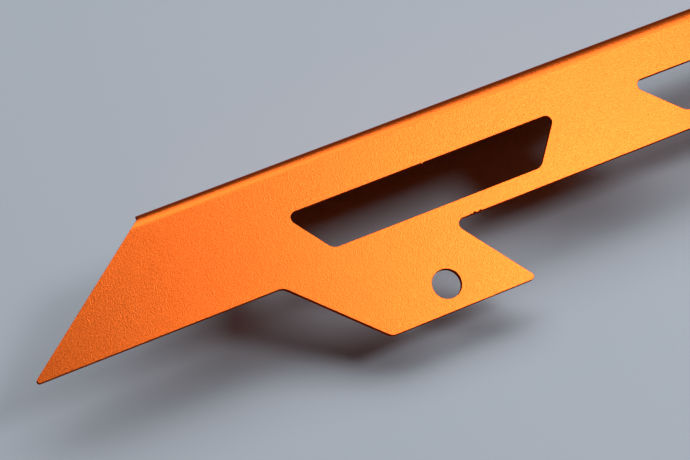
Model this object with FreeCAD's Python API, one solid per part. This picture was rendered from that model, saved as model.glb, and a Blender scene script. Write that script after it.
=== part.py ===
import FreeCAD, Part
import math
import os

from FreeCAD import Vector

# Motorcycle chain guard: one piece of aluminium sheet, cut flat and folded once along its length.
# The side hangs beside the chain and carries the windows and the two mounting tabs. The roof
# covers the chain from above. Millimetres and degrees.
# The guard is drawn as it sits on the bike: x runs forward from the tail, y inward from the
# outer face of the side, z up from the top of the roof. At the end it is laid down at rest.

# Sheet and fold
sheet_thickness = 1.5
bend_inner_radius = 1.7

# Roof, wide over the rear sprocket and narrower ahead of it, its rear end and its step raked alike
length = 400.0
roof_width = 42.0
roof_front_width = 25.0
roof_wide_end = 143.0
roof_rake = 51.3
roof_corner_radius = 3.0

# Side, measured down from the top of the roof
side_height = 25.9
tail_angle = 36.8
tail_tip_radius = 0.6
front_corner_radius = 3.0

# Windows, raked at both ends. The rear end of the first one is steeper than on the others.
window_count = 3
window_top = 11.6
window_height = 10.3
window_start = 61.9
window_length = 65.4
window_gap = 18.4
first_window_rear_rake = 54.9
window_rear_rake = 45.0
window_front_rake = 51.3
window_upper_radius = 1.4
window_lower_radius = 2.5

# Mounting tabs, swept forward as they go down
tab_start = 55.7
tab_root_width = 39.6
tab_rear_rake = 45.7
tab_front_rake = 54.6
tab_blend_radius = 2.5
tab_tip_radius = 0.8
tab_notch_radius = 1.4
rear_tab_drop = 17.9
front_tab_drop = 37.1

# Mounting holes, clear for M6 screws
hole_diameter = 6.5
hole_rise = 6.0
rear_hole_x = 88.7
front_hole_setback = 31.3

# Three nicks in the outer corner of the lower edge, just ahead of the rear tab, and the burr that
# the cut left in the top edge of the first window: place along the guard, width and depth.
edge_nicks = [(100.0, 0.5, 0.15), (100.9, 0.8, 0.3), (102.3, 0.6, 0.25)]
nick_reach = 1.0
window_burr = (94.7, 0.6, 0.2)

# What follows from these sizes
bend_outer_radius = bend_inner_radius + sheet_thickness
rear_tab_bottom = side_height + rear_tab_drop
front_tab_bottom = side_height + front_tab_drop
deepest = max(rear_tab_bottom, front_tab_bottom)
over = 2 * bend_outer_radius
inward = Vector(0, 1, 0)
down = Vector(0, 0, -1)


def run(height, rake):
    """How far an edge raked at this angle travels along the guard over this height."""
    return height / math.tan(math.radians(rake))


def corner_arc(before, corner, after, radius):
    """The two tangent points and the middle point of the arc that rounds one corner."""
    to_before = (before - corner).normalize()
    to_after = (after - corner).normalize()
    half = to_before.getAngle(to_after) / 2
    middle = (to_before + to_after).normalize()
    centre = corner + middle * (radius / math.sin(half))
    start = corner + to_before * (radius / math.tan(half))
    end = corner + to_after * (radius / math.tan(half))
    return start, centre - middle * radius, end


def outline(corners, across):
    """A closed outline from (x, distance across the sheet from the fold, corner radius)."""
    points = [Vector(x, 0, 0) + across * distance for x, distance, _ in corners]
    edges = []
    first = last = None
    for i, (_, _, radius) in enumerate(corners):
        start = end = points[i]
        if radius > 0:
            after = points[(i + 1) % len(points)]
            start, middle, end = corner_arc(points[i - 1], points[i], after, radius)
            arc = Part.Arc(start, middle, end).toShape()
        if last is None:
            first = start
        else:
            edges.append(Part.makeLine(last, start))
        if radius > 0:
            edges.append(arc)
        last = end
    edges.append(Part.makeLine(last, first))
    return Part.Wire(edges)


def through_side(corners):
    """A cutter or blank with this outline, square to the side and a little deeper than the bend."""
    prism = Part.Face(outline(corners, down)).extrude(inward * over)
    prism.translate(inward * (-bend_outer_radius / 2))
    return prism


def through_roof(corners):
    """The same, square to the roof."""
    prism = Part.Face(outline(corners, inward)).extrude(down * over)
    prism.translate(down * (-bend_outer_radius / 2))
    return prism


def bend_point(radius, turn):
    """A point of the fold's section, turned up from the side (0) towards the roof (90)."""
    angle = math.radians(turn)
    return Vector(
        0,
        bend_outer_radius - radius * math.cos(angle),
        -bend_outer_radius + radius * math.sin(angle),
    )


def bend_arc(radius, turn_from, turn_to):
    """An arc of the fold's section, with the fold's own centre."""
    turn_middle = (turn_from + turn_to) / 2
    return Part.Arc(
        bend_point(radius, turn_from), bend_point(radius, turn_middle), bend_point(radius, turn_to)
    ).toShape()


def folded_strip(turn_from, turn_to, outer_end, inner_end, start, end):
    """Half of the folded section, from the middle of the bend out to a free end, along the guard."""
    section = Part.Wire(
        [
            bend_arc(bend_outer_radius, turn_from, turn_to),
            Part.makeLine(bend_point(bend_outer_radius, turn_to), outer_end),
            Part.makeLine(outer_end, inner_end),
            Part.makeLine(inner_end, bend_point(bend_inner_radius, turn_to)),
            bend_arc(bend_inner_radius, turn_to, turn_from),
            Part.makeLine(
                bend_point(bend_inner_radius, turn_from), bend_point(bend_outer_radius, turn_from)
            ),
        ]
    )
    strip = Part.Face(section).extrude(Vector(end - start, 0, 0))
    strip.translate(Vector(start, 0, 0))
    return strip


def tab_corners(start, bottom):
    """The four corners of a tab, in order towards the front."""
    drop = bottom - side_height
    root_end = start + tab_root_width
    return [
        (start, side_height, tab_blend_radius),
        (start + run(drop, tab_rear_rake), bottom, tab_blend_radius),
        (root_end + run(drop, tab_front_rake), bottom, tab_tip_radius),
        (root_end, side_height, tab_notch_radius),
    ]


# The side: tail, lower edge with both tabs, and a square front end. The raked tail edge runs up
# to the middle of the bend. The rear end of the roof starts there, square across the bend.
bend_middle = 45.0
bend_middle_depth = -bend_point(bend_outer_radius, bend_middle).z
roof_start = run(side_height - bend_middle_depth, tail_angle)
tab_lean = run(1.0, tab_rear_rake)
front_hole_x = length - front_hole_setback
front_tab_start = (
    tab_start + front_hole_x - rear_hole_x - (front_tab_drop - rear_tab_drop) * tab_lean
)


def side_outline():
    """The side's cut edge, from the tail tip forward. Its top is left open above the roof."""
    tail_top = -over
    return (
        [(0.0, side_height, tail_tip_radius)]
        + tab_corners(tab_start, rear_tab_bottom)
        + tab_corners(front_tab_start, front_tab_bottom)
        + [
            (length, side_height, front_corner_radius),
            (length, tail_top, 0),
            (run(side_height - tail_top, tail_angle), tail_top, 0),
        ]
    )


def window_outline(number):
    """One window of the row: a flat trapezoid, longer at the top."""
    rear = window_start + number * (window_length + window_gap)
    front = rear + window_length
    bottom = window_top + window_height
    rear_rake = first_window_rear_rake if number == 0 else window_rear_rake
    return [
        (rear, window_top, window_upper_radius),
        (rear + run(window_height, rear_rake), bottom, window_lower_radius),
        (front - run(window_height, window_front_rake), bottom, window_lower_radius),
        (front, window_top, window_upper_radius),
    ]


def roof_outline():
    """The roof's cut edge: square across the bend, then raked, and raked again at the step."""
    rear_corner = roof_start + run(roof_width - bend_outer_radius, roof_rake)
    step_end = roof_wide_end + run(roof_width - roof_front_width, roof_rake)
    return [
        (roof_start, -over, 0),
        (roof_start, bend_outer_radius, 0),
        (rear_corner, roof_width, roof_corner_radius),
        (roof_wide_end, roof_width, roof_corner_radius),
        (step_end, roof_front_width, roof_corner_radius),
        (length, roof_front_width, roof_corner_radius),
        (length, -over, 0),
    ]


def mounting_hole(x, tab_bottom):
    """A round hole through a tab, its centre a set distance above the tab's lower edge."""
    centre = Vector(x, -bend_outer_radius / 2, hole_rise - tab_bottom)
    return Part.makeCylinder(hole_diameter / 2, over, centre, inward)


def flaw_radius(width, depth):
    """The radius of a round flaw from its width along the edge and its depth square to it."""
    return (width * width / 4 + depth * depth) / (2 * depth)


def nick(x, width, depth):
    """A round bite out of the lower edge, from the outer face part of the way through the sheet."""
    radius = flaw_radius(width, depth)
    start = Vector(x, -bend_outer_radius, -side_height + depth - radius)
    return Part.makeCylinder(radius, bend_outer_radius + nick_reach, start, inward)


def burr(x, width, depth):
    """A round drop of metal under the window's top edge, as thick as the sheet."""
    radius = flaw_radius(width, depth)
    start = Vector(x, 0, -window_top - depth + radius)
    return Part.makeCylinder(radius, sheet_thickness, start, inward)


def side():
    wall = folded_strip(
        bend_middle,
        0.0,
        Vector(0, 0, -deepest - over),
        Vector(0, sheet_thickness, -deepest - over),
        0.0,
        length,
    )
    wall = wall.common(through_side(side_outline()))
    cuts = [through_side(window_outline(i)) for i in range(window_count)]
    cuts.append(mounting_hole(rear_hole_x, rear_tab_bottom))
    cuts.append(mounting_hole(front_hole_x, front_tab_bottom))
    cuts += [nick(*place) for place in edge_nicks]
    return wall.cut(cuts).fuse(burr(*window_burr))


def roof():
    slab = folded_strip(
        bend_middle,
        90.0,
        Vector(0, roof_width + over, 0),
        Vector(0, roof_width + over, -sheet_thickness),
        roof_start,
        length,
    )
    return slab.common(through_roof(roof_outline()))


guard = side().fuse(roof()).removeSplitter()

# Laid down at rest: the free edge of the roof and the lower edge of the deeper tab both touch
# the ground, the side faces up, and the origin is the middle of the footprint on the ground.
lean = math.degrees(math.atan2(roof_width - sheet_thickness, deepest - sheet_thickness))
guard.rotate(Vector(0, 0, 0), Vector(1, 0, 0), lean - 90.0)
box = guard.optimalBoundingBox(False)
guard.translate(Vector(-box.Center.x, -box.Center.y, -box.ZMin))

os.makedirs("parts", exist_ok=True)
guard.Solids[0].exportStep("parts/chain_guard.step")
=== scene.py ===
import math

import bmesh
import bpy
from mathutils import Matrix, Vector


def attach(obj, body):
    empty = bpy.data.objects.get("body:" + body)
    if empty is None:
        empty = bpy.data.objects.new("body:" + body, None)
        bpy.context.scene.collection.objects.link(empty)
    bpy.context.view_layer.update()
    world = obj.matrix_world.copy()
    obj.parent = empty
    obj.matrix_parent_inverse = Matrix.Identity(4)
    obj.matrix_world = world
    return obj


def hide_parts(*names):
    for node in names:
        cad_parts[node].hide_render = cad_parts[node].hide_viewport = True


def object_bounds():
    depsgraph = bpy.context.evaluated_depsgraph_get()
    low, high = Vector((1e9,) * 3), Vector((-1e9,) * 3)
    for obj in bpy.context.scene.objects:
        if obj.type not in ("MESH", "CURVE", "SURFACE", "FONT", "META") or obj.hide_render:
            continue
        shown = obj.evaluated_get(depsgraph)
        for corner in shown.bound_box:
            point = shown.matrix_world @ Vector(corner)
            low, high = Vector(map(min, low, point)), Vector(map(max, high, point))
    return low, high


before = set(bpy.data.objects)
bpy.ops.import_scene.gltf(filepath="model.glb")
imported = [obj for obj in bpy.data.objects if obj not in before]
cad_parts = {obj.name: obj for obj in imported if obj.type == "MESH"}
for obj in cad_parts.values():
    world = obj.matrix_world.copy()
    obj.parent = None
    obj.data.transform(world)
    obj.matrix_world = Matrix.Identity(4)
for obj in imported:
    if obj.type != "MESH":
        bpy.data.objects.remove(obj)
cad_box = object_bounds()


# Chain guard. One piece of 1.5 mm aluminium sheet: laser cut flat, folded once along its length so
# that the roof stands square to the side, bead-blasted all over and anodised orange. It lies on
# the free edge of its roof and on its front tab, which gives the angle at which the side leans.
sheet_thickness = 0.0015
roof_width = 0.042
front_tab_reach = 0.063
bend_outer_radius = 0.0032
edge_break = 0.00012
side_lean = math.atan2(roof_width - sheet_thickness, front_tab_reach - sheet_thickness)
roof_free_edge = cad_box[1][1]
fold_line = Vector(
    (
        0.0,
        roof_free_edge - roof_width * math.sin(side_lean),
        roof_width * math.cos(side_lean) + sheet_thickness * math.sin(side_lean),
    )
)
side_out = Vector((0.0, -math.sin(side_lean), math.cos(side_lean)))
roof_out = Vector((0.0, math.cos(side_lean), math.sin(side_lean)))

# How squarely a face looks out from the sheet: up to the first it is a cut edge, from the second
# on it is the sheet's own surface, and between them lies the broken corner.
cut_facing = 0.35
sheet_facing = 0.95


def sheet_edge(point, normal):
    """How far a face is turned from the sheet's own surface: 0 on the sheet, 1 on a cut edge."""
    below_roof = -(point - fold_line).dot(roof_out)
    behind_side = -(point - fold_line).dot(side_out)
    if below_roof > bend_outer_radius:
        facing = abs(normal.dot(side_out))
    elif behind_side > bend_outer_radius:
        facing = abs(normal.dot(roof_out))
    else:
        facing = math.hypot(normal.y, normal.z)
    on_sheet = (facing - cut_facing) / (sheet_facing - cut_facing)
    return 1.0 - min(max(on_sheet, 0.0), 1.0)


def blasted_sheet(node, name):
    """The node's shape as a closed mesh, with its cut edges broken as blasting leaves them."""
    merge_distance = 1e-6
    flat_within = math.radians(0.5)
    sharp_from = math.radians(40)
    shape = bmesh.new()
    shape.from_mesh(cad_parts[node].data)
    bmesh.ops.remove_doubles(shape, verts=shape.verts, dist=merge_distance)
    bmesh.ops.dissolve_limit(
        shape, angle_limit=flat_within, verts=shape.verts, edges=shape.edges
    )
    for face in shape.faces:
        face.smooth = True
    square_edged = bpy.data.meshes.new("square-edged sheet")
    shape.to_mesh(square_edged)
    shape.free()
    piece = bpy.data.objects.new(name, square_edged)
    bpy.context.collection.objects.link(piece)
    bevel = piece.modifiers.new("edge break", "BEVEL")
    bevel.width = edge_break
    bevel.segments = 2
    bevel.limit_method = "ANGLE"
    bevel.angle_limit = sharp_from
    bevel.use_clamp_overlap = False
    piece.modifiers.new("even shading", "WEIGHTED_NORMAL")
    finished = bpy.data.meshes.new_from_object(
        piece.evaluated_get(bpy.context.evaluated_depsgraph_get())
    )
    piece.modifiers.clear()
    piece.data = finished
    finished.name = name
    bpy.data.meshes.remove(square_edged)
    cut = finished.attributes.new("cut_edge", "FLOAT", "FACE")
    cut.data.foreach_set("value", [sheet_edge(f.center, f.normal) for f in finished.polygons])
    return piece


class Value:
    """A number that varies over a surface: arithmetic on it adds Math nodes to its tree."""

    def __init__(self, nodes, socket):
        self.nodes = nodes
        self.socket = socket

    def maths(self, operation, first, second):
        return self.nodes.add("ShaderNodeMath", {"operation": operation}, {0: first, 1: second})

    def __add__(self, other):
        return self.maths("ADD", self, other)

    def __sub__(self, other):
        return self.maths("SUBTRACT", self, other)

    def __mul__(self, other):
        return self.maths("MULTIPLY", self, other)

    def __rsub__(self, other):
        return self.maths("SUBTRACT", other, self)

    __radd__ = __add__
    __rmul__ = __mul__


class Nodes:
    """A node tree, filled by node type, with each node's settings and its sockets' values."""

    def __init__(self, owner):
        owner.use_nodes = True
        self.tree = owner.node_tree
        self.tree.nodes.clear()

    def add(self, kind, settings, sockets, output=0):
        node = self.tree.nodes.new(kind)
        for setting, value in settings.items():
            setattr(node, setting, value)
        for key, value in sockets.items():
            if isinstance(value, Value):
                self.tree.links.new(value.socket, node.inputs[key])
            else:
                node.inputs[key].default_value = value
        return Value(self, node.outputs[output]) if node.outputs else None


def mixed(nodes, share, first, second):
    """A mix of two colours. A Mix node's colour sockets share their names, so they go by number."""
    first_colour, second_colour, mixed_colour = 6, 7, 2
    return nodes.add(
        "ShaderNodeMix",
        {"data_type": "RGBA"},
        {"Factor": share, first_colour: first, second_colour: second},
        output=mixed_colour,
    )


# Blasting leaves a grain of pits and crests, and larger patches that are a little duller. The cut
# edges are duller too, and carry painted shade: a darker orange. Seen edge on, the metal shines a
# dark orange.
grain_scale = 3600.0
grain_depth = 0.00004
patch_scale = 90.0
pit_orange = (0.76, 0.121, 0.014, 1.0)
crest_orange = (0.86, 0.157, 0.023, 1.0)
# Painted shade: the darker orange of the cut edges stands in for the shade they lie in.
cut_edge_painted_shade = (0.42, 0.062, 0.012, 1.0)
edge_on_orange = (0.25, 0.02, 0.0, 1.0)
pit_roughness = 0.27
crest_dulling = 0.07
patch_dulling = 0.02
cut_dulling = 0.15


def orange_anodised():
    """Bead-blasted aluminium under an orange anodised layer, duller on the cut edges, with painted
    shade on them.
    """
    material = bpy.data.materials.new("orange anodised sheet")
    nodes = Nodes(material)
    here = nodes.add("ShaderNodeTexCoord", {}, {}, output="Object")
    cut = nodes.add("ShaderNodeAttribute", {"attribute_name": "cut_edge"}, {}, output="Fac")
    grain = nodes.add(
        "ShaderNodeTexNoise",
        {},
        {"Vector": here, "Scale": grain_scale, "Detail": 1.0, "Roughness": 0.5},
    )
    patches = nodes.add(
        "ShaderNodeTexNoise",
        {},
        {"Vector": here, "Scale": patch_scale, "Detail": 3.0, "Roughness": 0.5},
    )
    crests = nodes.add(
        "ShaderNodeMapRange", {}, {"Value": grain, "From Min": 0.25, "From Max": 0.75}
    )
    relief = nodes.add(
        "ShaderNodeBump", {}, {"Strength": 1.0, "Distance": grain_depth, "Height": grain}
    )
    blasted = mixed(nodes, crests, pit_orange, crest_orange)
    # Painted shade: the cut edges take the darker orange.
    colour = mixed(nodes, cut, blasted, cut_edge_painted_shade)
    dulling = crest_dulling * crests + patch_dulling * patches + cut_dulling * cut
    shader = nodes.add(
        "ShaderNodeBsdfPrincipled",
        {},
        {
            "Base Color": colour,
            "Metallic": 0.9,
            "Roughness": pit_roughness + dulling,
            "Specular Tint": edge_on_orange,
            "Normal": relief,
        },
    )
    nodes.add("ShaderNodeOutputMaterial", {}, {"Surface": shader})
    return material


guard = blasted_sheet("chain_guard", "guard_sheet")
guard.data.materials.append(orange_anodised())
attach(guard, "root")
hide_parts("chain_guard")


# Floor. A plain pale matt sheet that the guard lies on. Away from the guard, outside the camera's
# view, it fades into a backdrop of the same pale grey.
floor_reach = 0.7
fade_start = 0.26
fade_end = 0.62
pale_grey = (0.46, 0.515, 0.585, 1.0)


def pale_floor():
    """A matt pale grey that fades out with the distance from the guard."""
    material = bpy.data.materials.new("pale floor")
    nodes = Nodes(material)
    here = nodes.add("ShaderNodeTexCoord", {}, {}, output="Object")
    reach = nodes.add("ShaderNodeVectorMath", {"operation": "LENGTH"}, {0: here}, output="Value")
    faded = nodes.add(
        "ShaderNodeMapRange",
        {"interpolation_type": "SMOOTHSTEP"},
        {"Value": reach, "From Min": fade_start, "From Max": fade_end},
    )
    shader = nodes.add(
        "ShaderNodeBsdfPrincipled",
        {},
        {"Base Color": pale_grey, "Roughness": 0.85, "Alpha": 1.0 - faded},
    )
    nodes.add("ShaderNodeOutputMaterial", {}, {"Surface": shader})
    return material


floor_mesh = bpy.data.meshes.new("floor")
floor_mesh.from_pydata(
    [(x * floor_reach, y * floor_reach, 0.0) for x, y in ((-1, -1), (1, -1), (1, 1), (-1, 1))],
    [],
    [(0, 1, 2, 3)],
)
floor = bpy.data.objects.new("floor", floor_mesh)
bpy.context.collection.objects.link(floor)
floor_mesh.materials.append(pale_floor())


# Light. Three soft boxes hang level over the guard: a small strong one in front on the right, a
# large one over its front end and a long one behind.
def soft_box(name, place, width, length, power, turn=0.0):
    """A rectangular lamp that shines down, turned by this many degrees about the vertical."""
    lamp = bpy.data.lights.new(name, "AREA")
    lamp.shape = "RECTANGLE"
    lamp.size = width
    lamp.size_y = length
    lamp.energy = power
    box = bpy.data.objects.new(name, lamp)
    bpy.context.collection.objects.link(box)
    box.location = place
    box.rotation_euler = (0.0, 0.0, math.radians(turn))
    return box


box_height = 0.85
soft_box(
    "front soft box",
    (0.323, -0.505, box_height),
    width=0.274,
    length=0.296,
    power=3.59,
    turn=-78.3,
)
soft_box(
    "right soft box",
    (0.236, 0.018, box_height),
    width=0.532,
    length=0.710,
    power=3.68,
    turn=49.6,
)
soft_box(
    "rear soft box",
    (-0.176, 0.418, box_height),
    width=0.887,
    length=0.483,
    power=3.14,
    turn=61.2,
)


# Walls. The camera sees them as a pale backdrop. The metal mirrors them almost dark, as the
# photograph's metal does, and they give hardly any fill.
wall_colour = (0.82, 0.90, 1.0, 1.0)
seen_strength = 0.42
mirrored_strength = 0.01
fill_strength = 0.01
studio = bpy.data.worlds.new("studio")
air = Nodes(studio)
seen = air.add("ShaderNodeLightPath", {}, {}, output="Is Camera Ray")
mirrored = air.add("ShaderNodeLightPath", {}, {}, output="Is Glossy Ray")
through = air.add("ShaderNodeLightPath", {}, {}, output="Is Transmission Ray")
walls = seen_strength * seen + mirrored_strength * (mirrored + through)
sky = air.add(
    "ShaderNodeBackground", {}, {"Color": wall_colour, "Strength": fill_strength + walls}
)
air.add("ShaderNodeOutputWorld", {}, {"Surface": sky})
bpy.context.scene.world = studio


# Reflectors. Pale cards round the guard, two low behind it and one beyond its tail. The metal
# mirrors them when it is seen from behind or from its front end. They don't light the floor.
card_size = 0.7
card_power = 1.1


def reflector(name, place):
    """A card that faces the guard and shows only in what mirrors it."""
    card = soft_box(name, place, card_size, card_size, card_power)
    card.rotation_euler = Vector(place).to_track_quat("Z", "Y").to_euler()
    card.visible_camera = False
    card.visible_diffuse = False


reflector("right reflector", (0.80, 0.50, 0.50))
reflector("left reflector", (-0.75, 0.56, 0.55))
reflector("tail reflector", (-0.72, 0.03, 0.72))


# Camera. A long lens looks down on the tail end from the front left, as the photograph does. Its
# place and its three axes come from the photograph's perspective.
lens = bpy.data.cameras.new("camera")
lens.sensor_width = 36.0
lens.lens = 114.834
lens.clip_start = 0.01
camera = bpy.data.objects.new("camera", lens)
bpy.context.collection.objects.link(camera)
lens_place = Vector((-0.253394, -0.306526, 0.350548))
right = Vector((0.897360, -0.436789, -0.062937))
up = Vector((0.347961, 0.612611, 0.709670))
back = Vector((-0.271420, -0.658729, 0.701718))
turned = Matrix((right, up, back)).transposed().to_4x4()
camera.matrix_world = Matrix.Translation(lens_place) @ turned
bpy.context.scene.camera = camera
bpy.context.scene.view_settings.view_transform = "Standard"
